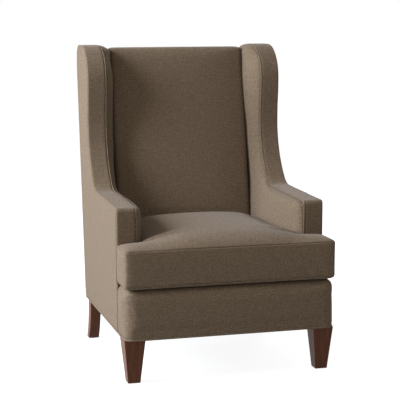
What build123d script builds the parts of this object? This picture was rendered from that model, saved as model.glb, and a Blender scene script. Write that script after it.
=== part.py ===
from build123d import *
import os
from math import atan, cos, degrees, radians, sin, tan

# Wing chair: a doweled hardwood frame with a sprung seat, fixed upholstery in woven cloth,
# four wooden legs and a loose T-shaped seat cushion that lifts off its deck.
# Millimetres. The chair faces -Y, +Z is up, and the origin is on the floor under its middle.
# Left and right are as seen from the front, so the left arm is on -X.

# Overall sizes
WIDTH = 764.0  # across the outside arm panels
DEPTH = 862.0  # front of the seat cushion to the outside back
HEIGHT = 1140.0  # floor to the tops of the wings
CLEARANCE = 0.3  # between pieces that lie against each other

# Heights above the floor
BASE_HEIGHT = 158.0  # underside of the seat frame, top of the legs
DECK_HEIGHT = 335.0  # top of the seat deck under the cushion
ARM_HEIGHT = 598.0  # top of the arm at its front
BACK_DROP = 9.0  # top of the inside back below the tops of the wings

# Side outline of arm and wing
SEAT_OVERHANG = 136.0  # cushion front ahead of the arm fronts
ARM_SLOPE = 1.25  # rise of the arm top towards the wing, degrees
ARM_CORNER_RADIUS = 14.0
THROAT_RADIUS = 82.0  # tight part of the curve from arm to wing
THROAT_TURN = 45.0  # heading where the throat opens into the sweep, degrees
SWEEP_SHARE = 0.59  # radius of the sweep over the height of the wing above the arm
WING_DEPTH = 226.0  # outside back to the foremost point of the wing
WING_BULGE = 9.0  # wing front ahead of its waist
WING_TOP_RADIUS = 130.0
BACK_RAKE = 8.1  # lean of the outside back, degrees
BACK_UPRIGHT = 100.0  # upright stretch of the outside back, down from the top
BACK_TOP_RADIUS = 40.0

# Inside back and arm padding
BACK_DEPTH = 261.0  # inside back at deck height ahead of the rearmost line of the chair
INSIDE_RAKE = 11.5  # lean of the inside back, degrees
BACK_CROWN = 12.0
BACK_SIDE_ROUND = 18.0
BACK_FRONT_ROUND = 34.0
FACING_WIDTH = 72.0  # outside of the arm to the seam of its inner pad
PAD_BULGE = 44.0  # inner pad proud of that seam
PAD_ROUND = 32.0
PAD_CORNER_RADIUS = 46.0

# Cloth and wadding
COVER = 2.0  # cover cloth
FACING = 10.0  # wadded band along arm front, arm top and wing
PANEL = 10.0  # outside arm panel
PANEL_ROUND = 5.0
OUTSIDE_BACK = 12.0
BORDER = 25.0  # padding ahead of the front rail
BORDER_SETBACK = 6.0  # border behind the cushion front
BORDER_ROUND = 28.0
WING_WELT = 5.0
BASE_WELT = 5.0
DUST_COVER = 1.5

# Hardwood frame
BOARD = 28.0  # thickness of every frame board
BOARD_WIDTH = 50.0  # width of posts and wing boards
RAIL_HEIGHT = 112.0
ARM_RAIL_HEIGHT = 40.0
CREST_HEIGHT = 90.0
CREST_COVER = 45.0  # crest rail below the top of the inside back
LOWER_RAIL_LIFT = 20.0  # lower back rail above the deck
LOWER_RAIL_HEIGHT = 50.0
WING_TOE = 45.0  # foot of the wing post behind the start of the throat
BLOCK_LEG = 90.0  # corner blocks, along each rail
BLOCK_HEIGHT = 40.0
DOWEL = 8.0
DOWEL_LENGTH = 40.0
DOWEL_SLACK = 0.1
RAIL_DOWELS = (0.25, 0.75)  # the two dowels of a joint, as shares of a rail's height
POST_DOWELS = (0.3, 0.7)  # the same across a post
WING_FOOT_DOWELS = (0.5, 0.95)  # the same along the foot of the wing post
SCREW = 4.4
SCREW_LENGTH = 40.0
SCREW_HEAD = 9.0
SCREW_HEAD_HEIGHT = 3.0
SCREW_STANDOFF = 60.0  # screw from the corner along the block
SCREW_BITE = 20.0  # screw point in the rail

# Legs
FRONT_LEG_TOP = 75.0
FRONT_LEG_FOOT = 44.0
FRONT_LEG_SETBACK = 12.5  # leg top behind the front border
LEG_INSET = 0.5  # leg top inside the outside arm panel
REAR_LEG_WIDTH = 40.0
REAR_LEG_TOP = 44.0
REAR_LEG_FOOT = 40.0
REAR_LEG_KICK = 46.0  # sweep of the rear leg from top to foot
REAR_LEG_PLACE = 62.0  # back of the leg top ahead of the base of the outside back
LEG_EDGE = 2.5
GLIDE = 24.0
GLIDE_HEIGHT = 3.0
BOLT = 8.0
BOLT_SLACK = 0.1
BOLT_DEPTH = 60.0  # into the leg
BOLT_OFFSET = 19.0  # front bolt from the middle of its leg, towards the corner block
REAR_BOLT_RISE = 45.0  # into the side rail
WASHER = 22.0
WASHER_HEIGHT = 2.0
NUT = 13.0
NUT_HEIGHT = 6.5

# Springs and webbing
SPRING_COUNT = 5
SPRING_SPAN = 480.0  # first spring to last
SPRING_WIDTH = 46.0
SPRING_BAR_COUNT = 31
SPRING_WIRE = 3.8
SPRING_BEND = 0.48  # bend radius of the zigzag over the pitch of its bars
CLIP = 1.5
CLIP_WIDTH = 16.0
CLIP_LENGTH = 24.0
TIE_WIRE = 2.4
TIE_COUNT = 2
INSULATOR = 5.0
WEBBING = 1.6
WEBBING_WIDTH = 55.0
LOWER_WEBBING_COUNT = 1
UPPER_WEBBING_COUNT = 4

# Loose seat cushion
CUSHION_FOOT = 11.0  # lower seam above the deck
CUSHION_BOXING = 124.0  # between the seams
CUSHION_CROWN = 27.0  # top above the upper seam
CUSHION_CROWN_RUN = 42.0  # from the seam in to the flat of the crown
CUSHION_FOOT_RUN = 22.0  # from the lower seam in to the flat underside
CROWN_STEPS = ((0, 0), (0.45, 0.26), (0.78, 0.58), (1, 1))  # shares of the crown's rise and run
FOOT_STEPS = ((1, 1), (0.55, 0.4), (0, 0))  # shares of the underside's drop and run
CUSHION_GAP = 2.0  # to the arm pads and arm fronts
CUSHION_BACK_GAP = 5.5
CUSHION_DRAW = 4.0  # front and sides drawn in between the corners
NOSE_RADIUS = 22.0
EAR_RADIUS = 12.0
NOTCH_RADIUS = 10.0
REAR_RADIUS = 20.0
ZIP_END = 29.0  # end of the zip short of the side of the cushion
ZIP_CHAIN = 4.0
ZIP_TAPE_WIDTH = 22.0
ZIP_TAPE = 0.8
SLIDER_LENGTH = 12.0
SLIDER_WIDTH = 10.0
SLIDER_HEIGHT = 3.6
PULL_WIDTH = 6.0
PULL_LENGTH = 22.0
PULL = 1.2

# Places worked out from those sizes
SIDE = WIDTH / 2
FRONT = -DEPTH / 2
BACK = DEPTH / 2
ARM_FRONT = FRONT + SEAT_OVERHANG
BORDER_FRONT = FRONT + BORDER_SETBACK
BACK_KINK = HEIGHT - BACK_UPRIGHT
BACK_HEIGHT = HEIGHT - BACK_DROP
SWEEP_RADIUS = SWEEP_SHARE * (HEIGHT - ARM_HEIGHT)
PANEL_BASE = BASE_HEIGHT + BASE_WELT + 2 * CLEARANCE
SEAM_X = SIDE - FACING_WIDTH
PAD_X = SEAM_X - PAD_BULGE
ZIP_LENGTH = 2 * (PAD_X - CUSHION_GAP - ZIP_END)
FRAME_OUT = SIDE - PANEL - CLEARANCE
FRAME_IN = FRAME_OUT - BOARD
FRAME_MID = FRAME_OUT - BOARD / 2
WOOD_INSET = FACING + CLEARANCE
WOOD_REAR = OUTSIDE_BACK + CLEARANCE
POST_FRONT = WOOD_REAR + BOARD_WIDTH
CROSS_REAR = WOOD_REAR + (BOARD_WIDTH - BOARD) / 2
CROSS_FRONT = CROSS_REAR + BOARD
CROSS_MID = CROSS_REAR + BOARD / 2
PAD_REAR = POST_FRONT + WEBBING + CLEARANCE
RAIL_TOP = BASE_HEIGHT + RAIL_HEIGHT
FRONT_RAIL_FACE = BORDER_FRONT + BORDER
FRONT_RAIL_BACK = FRONT_RAIL_FACE + BOARD
CREST_TOP = BACK_HEIGHT - CREST_COVER
ROLL_BASE = CREST_TOP + CLEARANCE
UPHOLSTERY_BASE = DECK_HEIGHT + CLEARANCE
CUSHION_LOW_SEAM = DECK_HEIGHT + CUSHION_FOOT
CUSHION_HIGH_SEAM = CUSHION_LOW_SEAM + CUSHION_BOXING
CUSHION_TOP = CUSHION_HIGH_SEAM + CUSHION_CROWN
ARM_RAIL_BASE = ARM_HEIGHT - WOOD_INSET - ARM_RAIL_HEIGHT
WING_FRONT = BACK - WING_DEPTH
WING_JOINT = HEIGHT - WING_TOP_RADIUS
SPRING_HEIGHT = RAIL_TOP + CLIP + CLEARANCE + SPRING_WIRE / 2
INSULATOR_BASE = SPRING_HEIGHT + SPRING_WIRE / 2 + 2 * CLEARANCE + CLIP
INSULATOR_TOP = INSULATOR_BASE + INSULATOR

parts = {}


def polar(length, angle):
    """Flat vector of a length at an angle in degrees."""
    return Vector(length * cos(radians(angle)), length * sin(radians(angle)))


def bend(start, heading, radius, turn):
    """Arc from start along heading, to the left for a positive turn, with its end and new heading."""
    first = heading - 90 if turn > 0 else heading + 90
    centre = start - polar(radius, first)
    edge = CenterArc(centre, radius, first, turn)
    return edge, centre + polar(radius, first + turn), heading + turn


def throat_start(inset):
    """Point where the arm top starts to turn up into the wing."""
    slope = radians(ARM_SLOPE)
    turn = radians(THROAT_TURN)
    run = THROAT_RADIUS * (sin(turn) - sin(slope)) + SWEEP_RADIUS * (1 - sin(turn))
    y = WING_FRONT + WING_BULGE - run
    z = ARM_HEIGHT + (y - ARM_FRONT) * tan(slope)
    return Vector(y, z) + polar(inset, ARM_SLOPE - 90)


def wing_waist():
    """Height where the sweep from the arm has turned upright."""
    turn = radians(THROAT_TURN)
    rise = THROAT_RADIUS * (cos(radians(ARM_SLOPE)) - cos(turn)) + SWEEP_RADIUS * cos(turn)
    return throat_start(0).Y + rise


def front_edges(inset, base, corner_radius):
    """Arm front, arm top and wing in the YZ plane, moved inwards by inset, with their last point."""
    throat = throat_start(inset)
    front = ARM_FRONT + inset
    corner = Vector(front, throat.Y - (throat.X - front) * tan(radians(ARM_SLOPE)))
    radius = max(corner_radius - inset, CLEARANCE)
    turn = ARM_SLOPE - 90
    tangent = radius * tan(radians(-turn / 2))
    arc, point, heading = bend(corner - Vector(0, tangent), 90, radius, turn)
    edges = [Line((front, base), corner - Vector(0, tangent)), arc, Line(point, throat)]
    bulge_height = WING_JOINT - wing_waist()
    bulge_turn = 2 * degrees(atan(WING_BULGE / bulge_height))
    bulge_radius = bulge_height / (2 * sin(radians(bulge_turn)))
    bends = [
        (THROAT_RADIUS + inset, THROAT_TURN - ARM_SLOPE),
        (SWEEP_RADIUS + inset, 90 - THROAT_TURN),
        (bulge_radius + inset, bulge_turn),
        (bulge_radius - inset, -bulge_turn),
        (WING_TOP_RADIUS - inset, -90),
    ]
    point = throat
    for radius, turn in bends:
        arc, point, heading = bend(point, heading, radius, turn)
        edges.append(arc)
    return edges, point


def rear_y(z, rear):
    """Line of the outside back at a height, moved forward by rear: raked, then upright."""
    rake = radians(BACK_RAKE)
    raked = BACK - rear / cos(rake) - (BACK_KINK - z) * tan(rake)
    return min(raked, BACK - rear)


def rear_kink(rear):
    """Height where that line turns upright."""
    return BACK_KINK + rear * tan(radians(BACK_RAKE / 2))


def behind(rear):
    """All that lies behind the outside back line moved forward by rear, in the YZ plane."""
    kink = (BACK - rear, rear_kink(rear))
    outer = BACK + DEPTH
    corners = [(rear_y(0, rear), 0), (outer, 0), (outer, 2 * HEIGHT), (BACK - rear, 2 * HEIGHT), kink]
    return make_face(Polyline(corners, close=True))


def side_face(inset, base, rear, corner_radius=ARM_CORNER_RADIUS):
    """Whole side outline in the YZ plane: inset from front and top, down to base, rear from the back."""
    edges, top = front_edges(inset, base, corner_radius)
    radius = max(BACK_TOP_RADIUS - rear, CLEARANCE)
    back = BACK - rear
    shoulder = Vector(back - radius, HEIGHT - inset)
    arc = CenterArc(shoulder - Vector(0, radius), radius, 90, -90)
    run = Polyline(
        (back, HEIGHT - inset - radius),
        (back, rear_kink(rear)),
        (rear_y(base, rear), base),
        (ARM_FRONT + inset, base),
    )
    return make_face([*edges, Line(top, shoulder), arc, *run.edges()])


def zone(y0, y1, z0, z1):
    """Rectangle in the YZ plane."""
    return Pos((y0 + y1) / 2, (z0 + z1) / 2) * Rectangle(y1 - y0, z1 - z0)


def plate(face, x0, x1):
    """A YZ face extruded across the chair from x0 to x1."""
    return extrude(Plane.YZ.offset(x0) * face, amount=x1 - x0)


def block(x0, x1, y0, y1, z0, z1):
    """Box between two corners."""
    return Pos((x0 + x1) / 2, (y0 + y1) / 2, (z0 + z1) / 2) * Box(x1 - x0, y1 - y0, z1 - z0)


def rod(point, axis, radius, length):
    """Round rod centred on a point."""
    return Plane(origin=point, z_dir=axis) * Cylinder(radius, length)


def both_sides(name, piece):
    """Keeps a right-hand piece and its mirror image."""
    parts[name + "_right"] = piece
    parts[name + "_left"] = mirror(piece, about=Plane.YZ)


def with_mirrors(pieces):
    """Right-hand pieces and their mirror images."""
    return [*pieces, *(mirror(piece, about=Plane.YZ) for piece in pieces)]


def spread(low, high, count):
    """Evenly spaced places strictly between two."""
    return [low + (high - low) * (i + 1) / (count + 1) for i in range(count)]


# Frame joints: dowels for the right side, as point and axis, two to a joint.
def dowel_places():
    """Middle and axis of each dowel in the right side of the frame."""
    rails = [BASE_HEIGHT + RAIL_HEIGHT * share for share in RAIL_DOWELS]
    arms = [ARM_RAIL_BASE + ARM_RAIL_HEIGHT * share for share in RAIL_DOWELS]
    tops = [HEIGHT - WOOD_INSET - BOARD_WIDTH * share for share in POST_DOWELS]
    crests = [CREST_TOP - CREST_HEIGHT * share for share in RAIL_DOWELS]
    lowers = [DECK_HEIGHT + LOWER_RAIL_LIFT + LOWER_RAIL_HEIGHT * share for share in RAIL_DOWELS]
    arm_posts = [ARM_FRONT + WOOD_INSET + BOARD_WIDTH * share for share in POST_DOWELS]
    wing_feet = [throat_start(0).X + WING_TOE + BOARD_WIDTH * share for share in WING_FOOT_DOWELS]
    wing_joints = [WING_FRONT + WOOD_INSET + BOARD_WIDTH * share for share in POST_DOWELS]
    places = []
    for z in rails:
        places.append(((FRAME_MID, FRONT_RAIL_BACK, z), (0, 1, 0)))
    for z in rails + arms + tops:
        places.append(((FRAME_MID, rear_y(z, POST_FRONT), z), (0, 1, 0)))
    for z in rails + lowers + crests:
        places.append(((FRAME_IN, rear_y(z, CROSS_MID), z), (1, 0, 0)))
    for y in arm_posts:
        places.append(((FRAME_MID, y, RAIL_TOP), (0, 0, 1)))
        places.append(((FRAME_MID, y, ARM_RAIL_BASE), (0, 0, 1)))
    for y in wing_feet:
        places.append(((FRAME_MID, y, throat_start(WOOD_INSET).Y), (0, 0, 1)))
    for y in wing_joints:
        places.append(((FRAME_MID, y, WING_JOINT), (0, 0, 1)))
    return places


dowels = [rod(point, axis, DOWEL / 2, DOWEL_LENGTH) for point, axis in dowel_places()]
dowel_holes = [
    rod(point, axis, DOWEL / 2 + DOWEL_SLACK, DOWEL_LENGTH + 2 * CLEARANCE)
    for point, axis in dowel_places()
]
parts["frame_dowels"] = Compound(with_mirrors(dowels))

# Corner blocks, with a screw into each rail and the front leg bolts through the front pair.
rear_corner = rear_y(BASE_HEIGHT, CROSS_FRONT)
front_leg_x = SIDE - LEG_INSET - FRONT_LEG_TOP / 2
front_leg_y = BORDER_FRONT + FRONT_LEG_SETBACK + FRONT_LEG_TOP / 2
front_bolt_x = front_leg_x - BOLT_OFFSET
front_bolt_y = front_leg_y + BOLT_OFFSET
screw_z = BASE_HEIGHT + BLOCK_HEIGHT / 2


def screw_along(point, axis, radius_more, reach):
    """Screw, or with more radius its hole, from its point back along an axis, with its head."""
    back = Plane(origin=point, z_dir=axis)
    shank = extrude(back * Circle(SCREW / 2 + radius_more), amount=SCREW_LENGTH)
    head_plane = back.offset(SCREW_LENGTH - SCREW_HEAD_HEIGHT)
    return shank + extrude(head_plane * Circle(SCREW_HEAD / 2 + radius_more), amount=reach)


def corner_block(corner_y, towards):
    """Triangular block in a right-hand corner of the seat frame."""
    corners = [
        (FRAME_IN, corner_y),
        (FRAME_IN - BLOCK_LEG, corner_y),
        (FRAME_IN, corner_y + towards * BLOCK_LEG),
    ]
    face = Pos(0, 0, BASE_HEIGHT) * make_face(Polyline(corners, close=True))
    return extrude(face, amount=BLOCK_HEIGHT, dir=(0, 0, 1))


screw_spots = [
    ((FRAME_IN - SCREW_STANDOFF, FRONT_RAIL_BACK - SCREW_BITE, screw_z), (0, 1, 0)),
    ((FRAME_IN + SCREW_BITE, FRONT_RAIL_BACK + SCREW_STANDOFF, screw_z), (-1, 0, 0)),
    ((FRAME_IN - SCREW_STANDOFF, rear_corner + SCREW_BITE, screw_z), (0, -1, 0)),
    ((FRAME_IN + SCREW_BITE, rear_corner - SCREW_STANDOFF, screw_z), (-1, 0, 0)),
]
screws = [screw_along(point, axis, 0, SCREW_HEAD_HEIGHT) for point, axis in screw_spots]
screw_holes = [screw_along(point, axis, DOWEL_SLACK, BLOCK_LEG) for point, axis in screw_spots]
parts["corner_block_screws"] = Compound(with_mirrors(screws))

front_bolt_top = BASE_HEIGHT + BLOCK_HEIGHT + WASHER_HEIGHT + NUT_HEIGHT + CLEARANCE
front_bolt_base = BASE_HEIGHT - BOLT_DEPTH
front_bolt_mid = (front_bolt_x, front_bolt_y, (front_bolt_top + front_bolt_base) / 2)
front_bolt_length = front_bolt_top - front_bolt_base
front_bolt = rod(front_bolt_mid, (0, 0, 1), BOLT / 2, front_bolt_length)
bolt_hole_radius = BOLT / 2 + BOLT_SLACK
front_bolt_hole = rod(front_bolt_mid, (0, 0, 1), bolt_hole_radius, front_bolt_length + 2 * CLEARANCE)

front_block = corner_block(FRONT_RAIL_BACK, 1) - front_bolt_hole - screw_holes
rear_block = corner_block(rear_corner, -1) - screw_holes
parts["corner_blocks"] = Compound(with_mirrors([front_block, rear_block]))

# Seat rails and the back frame between the posts.
rail_zone = zone(FRONT_RAIL_BACK, BACK, BASE_HEIGHT, RAIL_TOP)
cross_strip = behind(CROSS_FRONT) - behind(CROSS_REAR)
rear_leg_back = rear_y(BASE_HEIGHT, 0) - REAR_LEG_PLACE
rear_bolt_y = rear_leg_back - REAR_LEG_TOP / 2
rear_bolt_length = BOLT_DEPTH + REAR_BOLT_RISE
rear_bolt_mid = (FRAME_MID, rear_bolt_y, BASE_HEIGHT + (REAR_BOLT_RISE - BOLT_DEPTH) / 2)
rear_bolt = rod(rear_bolt_mid, (0, 0, 1), BOLT / 2, rear_bolt_length)
rear_bolt_hole = rod(rear_bolt_mid, (0, 0, 1), bolt_hole_radius, rear_bolt_length + 2 * CLEARANCE)

right_holes = [*dowel_holes, *screw_holes]
all_holes = with_mirrors(right_holes)
front_rail = block(-FRAME_OUT, FRAME_OUT, FRONT_RAIL_FACE, FRONT_RAIL_BACK, BASE_HEIGHT, RAIL_TOP)
parts["front_rail"] = front_rail - all_holes


def cross_rail(z0, z1):
    """Board between the back posts, leaning with them."""
    face = cross_strip & zone(-DEPTH, DEPTH, z0, z1)
    return plate(face, -FRAME_IN, FRAME_IN) - all_holes


lower_rail_base = DECK_HEIGHT + LOWER_RAIL_LIFT
parts["back_rail"] = cross_rail(BASE_HEIGHT, RAIL_TOP)
parts["lower_back_rail"] = cross_rail(lower_rail_base, lower_rail_base + LOWER_RAIL_HEIGHT)
parts["crest_rail"] = cross_rail(CREST_TOP - CREST_HEIGHT, CREST_TOP)

side_rail = plate(rail_zone - behind(POST_FRONT), FRAME_IN, FRAME_OUT)
both_sides("side_rail", side_rail - right_holes - rear_bolt_hole)

back_post_face = side_face(WOOD_INSET, BASE_HEIGHT, WOOD_REAR) & behind(POST_FRONT)
both_sides("back_post", plate(back_post_face, FRAME_IN, FRAME_OUT) - right_holes)

# Arm and wing boards, all in the plane of the posts.
arm_rail_top = throat_start(WOOD_INSET).Y
arm_post_face = zone(
    ARM_FRONT + WOOD_INSET, ARM_FRONT + WOOD_INSET + BOARD_WIDTH, RAIL_TOP, ARM_RAIL_BASE
)
arm_rail_face = side_face(WOOD_INSET, BASE_HEIGHT, POST_FRONT)
arm_rail_face &= zone(FRONT, BACK, ARM_RAIL_BASE, arm_rail_top)
wing_ribbon = side_face(WOOD_INSET, arm_rail_top, POST_FRONT)
wing_ribbon -= side_face(WOOD_INSET + BOARD_WIDTH, 0, 0)
wing_post_face = wing_ribbon & zone(throat_start(0).X + WING_TOE, BACK, arm_rail_top, WING_JOINT)
wing_top_face = wing_ribbon & zone(FRONT, BACK, WING_JOINT, HEIGHT)
both_sides("arm_post", plate(arm_post_face, FRAME_IN, FRAME_OUT) - right_holes)
both_sides("arm_rail", plate(arm_rail_face, FRAME_IN, FRAME_OUT) - right_holes)
both_sides("wing_post", plate(wing_post_face, FRAME_IN, FRAME_OUT) - right_holes)
both_sides("wing_top", plate(wing_top_face, FRAME_IN, FRAME_OUT) - right_holes)

# Legs: square tapered in front, swept back behind, each on a hanger bolt and a nailed glide.
front_leg_faces = [
    Pos(front_leg_x, front_leg_y, BASE_HEIGHT) * Rectangle(FRONT_LEG_TOP, FRONT_LEG_TOP),
    Pos(front_leg_x, front_leg_y, GLIDE_HEIGHT) * Rectangle(FRONT_LEG_FOOT, FRONT_LEG_FOOT),
]
front_leg = loft(front_leg_faces)
front_leg_edges = [edge for edge in front_leg.edges() if edge.bounding_box().size.Z > LEG_EDGE]
both_sides("front_leg", fillet(front_leg_edges, LEG_EDGE) - front_bolt_hole)


def leg_curve(top_y, foot_y):
    """Edge of the rear leg, upright at the top and swept back to the foot."""
    drop = BASE_HEIGHT - GLIDE_HEIGHT
    sweep_angle = 2 * degrees(atan((foot_y - top_y) / drop))
    radius = drop / sin(radians(sweep_angle))
    return CenterArc((top_y + radius, BASE_HEIGHT), radius, 180, sweep_angle)


rear_leg_front = rear_leg_back - REAR_LEG_TOP
rear_foot_front = rear_leg_front + REAR_LEG_KICK
rear_foot_back = rear_foot_front + REAR_LEG_FOOT
rear_leg_face = make_face(
    [
        leg_curve(rear_leg_front, rear_foot_front),
        Line((rear_foot_front, GLIDE_HEIGHT), (rear_foot_back, GLIDE_HEIGHT)),
        leg_curve(rear_leg_back, rear_foot_back),
        Line((rear_leg_back, BASE_HEIGHT), (rear_leg_front, BASE_HEIGHT)),
    ]
)
rear_leg_out = SIDE - LEG_INSET
rear_leg_mid = rear_leg_out - REAR_LEG_WIDTH / 2
rear_leg = plate(rear_leg_face, rear_leg_out - REAR_LEG_WIDTH, rear_leg_out)
rear_leg_edges = [edge for edge in rear_leg.edges() if edge.bounding_box().size.Z > LEG_EDGE]
both_sides("rear_leg", fillet(rear_leg_edges, LEG_EDGE) - rear_bolt_hole)

parts["leg_bolts"] = Compound(with_mirrors([front_bolt, rear_bolt]))

nut_plane = Plane((front_bolt_x, front_bolt_y, BASE_HEIGHT + BLOCK_HEIGHT))
leg_nut = extrude(nut_plane * Circle(WASHER / 2), amount=WASHER_HEIGHT)
nut_face = nut_plane.offset(WASHER_HEIGHT) * RegularPolygon(NUT / 2, 6, major_radius=False)
leg_nut = leg_nut + extrude(nut_face, amount=NUT_HEIGHT) - front_bolt_hole
parts["leg_nuts"] = Compound(with_mirrors([leg_nut]))

foot_places = [(front_leg_x, front_leg_y), (rear_leg_mid, rear_foot_front + REAR_LEG_FOOT / 2)]
glides = [Pos(x, y, GLIDE_HEIGHT / 2) * Cylinder(GLIDE / 2, GLIDE_HEIGHT) for x, y in foot_places]
parts["glides"] = Compound(with_mirrors(glides))

# Sinuous seat springs in clips on the front and back rails, with cross ties under them.
spring_front = FRONT_RAIL_FACE + BOARD / 2
spring_back = rear_y(RAIL_TOP, CROSS_MID)
spring_pitch = (spring_back - spring_front) / (SPRING_BAR_COUNT - 1)
spring_places = [SPRING_SPAN * (i / (SPRING_COUNT - 1) - 0.5) for i in range(SPRING_COUNT)]


def sinuous_spring():
    """Flat zigzag spring on the middle line of the chair."""
    points = []
    for i in range(SPRING_BAR_COUNT):
        y = spring_front + i * spring_pitch
        side = SPRING_WIDTH / 2 if i % 2 else -SPRING_WIDTH / 2
        points.append((side, y, SPRING_HEIGHT))
        points.append((-side, y, SPRING_HEIGHT))
    path = FilletPolyline(points, radius=SPRING_BEND * spring_pitch)
    start = Plane(origin=path @ 0, z_dir=path % 0)
    return sweep(start * Circle(SPRING_WIRE / 2), path=path)


def spring_clip(y):
    """Clip nailed to a rail, with a loop over the last bar of a spring."""
    loop = SPRING_WIRE / 2 + CLEARANCE
    face = zone(y - CLIP_LENGTH / 2, y + CLIP_LENGTH / 2, RAIL_TOP, RAIL_TOP + CLIP)
    face += Pos(y, SPRING_HEIGHT) * (Circle(loop + CLIP) - Circle(loop))
    face -= zone(y - CLIP_LENGTH, y + CLIP_LENGTH, RAIL_TOP - CLIP_LENGTH, RAIL_TOP)
    return plate(face, -CLIP_WIDTH / 2, CLIP_WIDTH / 2)


spring = sinuous_spring()
clips = [spring_clip(spring_front), spring_clip(spring_back)]
parts["seat_springs"] = Compound([Pos(x, 0, 0) * spring for x in spring_places])
parts["spring_clips"] = Compound([Pos(x, 0, 0) * clip for x in spring_places for clip in clips])
tie_height = SPRING_HEIGHT - SPRING_WIRE / 2 - CLEARANCE - TIE_WIRE / 2
tie_length = SPRING_SPAN + SPRING_WIDTH
ties = [
    rod((0, y, tie_height), (1, 0, 0), TIE_WIRE / 2, tie_length)
    for y in spread(spring_front, spring_back, TIE_COUNT)
]
parts["spring_ties"] = Compound(ties)

# Webbing across the fronts of the back posts.
webbing_strip = behind(POST_FRONT + WEBBING) - behind(POST_FRONT)
webbing_heights = [
    *spread(lower_rail_base, ARM_RAIL_BASE, LOWER_WEBBING_COUNT),
    *spread(arm_rail_top, HEIGHT - WOOD_INSET - BOARD_WIDTH, UPPER_WEBBING_COUNT),
]
straps = []
for height in webbing_heights:
    strap_zone = zone(FRONT, BACK, height - WEBBING_WIDTH / 2, height + WEBBING_WIDTH / 2)
    straps.append(plate(webbing_strip & strap_zone, -FRAME_OUT, FRAME_OUT))
parts["back_webbing"] = Compound(straps)

# Seat deck: insulator on the springs, foam and a decking cloth.
deck_side = FRAME_IN - CLEARANCE
deck_cloth_base = DECK_HEIGHT - COVER


def deck_layer(front, z0, z1):
    """Layer of the deck, cut off at the back frame."""
    return plate(zone(front, BACK, z0, z1) - behind(PAD_REAR), -deck_side, deck_side)


parts["deck_insulator"] = deck_layer(FRONT_RAIL_FACE, INSULATOR_BASE, INSULATOR_TOP)
parts["deck_pad"] = deck_layer(ARM_FRONT, INSULATOR_TOP + CLEARANCE, deck_cloth_base - CLEARANCE)
parts["deck_cloth"] = deck_layer(ARM_FRONT, deck_cloth_base, DECK_HEIGHT)

# Front border: a padded cap over the front of the seat frame, between deck and base welt.
def border_form(inset):
    """Outer form of the front border, or the form of its padding."""
    form = block(
        inset - SIDE,
        SIDE - inset,
        BORDER_FRONT + inset,
        ARM_FRONT - CLEARANCE,
        PANEL_BASE,
        DECK_HEIGHT - inset,
    )
    top_edges = form.faces().sort_by(Axis.Z)[-1].edges()
    front_edges_of_form = form.faces().sort_by(Axis.Y)[0].edges()
    rear_line = top_edges.sort_by(Axis.Y)[-1]
    floor_line = front_edges_of_form.sort_by(Axis.Z)[0]
    rounded = [edge for edge in top_edges if edge != rear_line]
    rounded += [edge for edge in front_edges_of_form if edge != floor_line and edge not in rounded]
    return fillet(rounded, BORDER_ROUND - inset)


frame_space = block(
    -FRAME_OUT - CLEARANCE,
    FRAME_OUT + CLEARANCE,
    FRONT_RAIL_FACE - CLEARANCE,
    ARM_FRONT,
    BASE_HEIGHT,
    INSULATOR_TOP + CLEARANCE,
)
parts["front_border_pad"] = border_form(COVER + CLEARANCE) - frame_space
parts["front_border_cover"] = border_form(0) - border_form(COVER)

# Outside arm panels, outside back and the facing band along arm and wing.
panel = plate(side_face(0, PANEL_BASE, 0), SIDE - PANEL, SIDE)
panel = fillet(panel.faces().sort_by(Axis.X)[-1].edges(), PANEL_ROUND)
both_sides("outside_arm_panel", panel)

outside_back_face = behind(OUTSIDE_BACK) & side_face(0, PANEL_BASE, 0)
outside_back_face &= zone(FRONT, BACK, PANEL_BASE, CREST_TOP)
parts["outside_back_panel"] = plate(outside_back_face, -FRAME_OUT, FRAME_OUT)

facing_x = SEAM_X + WING_WELT / 2 + CLEARANCE
facing_face = side_face(0, UPHOLSTERY_BASE, 0) - side_face(FACING, 0, FACING)
facing_face -= zone(throat_start(0).X, BACK, 0, ARM_HEIGHT)
facing_face -= zone(WING_FRONT + WING_TOP_RADIUS, BACK, 0, ROLL_BASE)
both_sides("facing", plate(facing_face, facing_x, FRAME_OUT))

# Inner arm and wing pads, with their covers and the welt in the seam.
def pad_face(inset):
    """Outline of the inner arm and wing pad inside its welt, over the crest rail at the back."""
    outline = WING_WELT + CLEARANCE + inset
    face = side_face(outline, UPHOLSTERY_BASE, PAD_REAR, PAD_CORNER_RADIUS)
    over = side_face(outline, UPHOLSTERY_BASE, inset) & zone(WING_FRONT, BACK, ROLL_BASE, HEIGHT)
    return face + over


def pad_form(inset):
    """Swell of the inner pad, rounded where it rolls back to the welt."""
    swell = plate(pad_face(inset), PAD_X + inset, facing_x - CLEARANCE)
    inner = swell.faces().sort_by(Axis.X)[0]
    rolled = [edge for edge in inner.edges() if on_roll(edge, inset)]
    return fillet(rolled, PAD_ROUND - inset)


def on_roll(edge, inset):
    """Whether an edge of the inner face lies along the front or top of the pad."""
    middle = edge @ 0.5
    low = middle.Z < UPHOLSTERY_BASE + CLEARANCE
    below_top = middle.Z < HEIGHT - WING_WELT - inset - 2 * CLEARANCE
    rear = below_top and middle.Y > rear_y(middle.Z, PAD_REAR) - CLEARANCE
    return not low and not rear


pad_core_face = side_face(WOOD_INSET, UPHOLSTERY_BASE, PAD_REAR)
pad_core = plate(pad_core_face, facing_x - CLEARANCE, FRAME_IN - CLEARANCE)
both_sides("arm_pad", pad_form(COVER + CLEARANCE) + pad_core)
both_sides("inside_arm_cover", pad_form(0) - pad_form(COVER))

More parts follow.
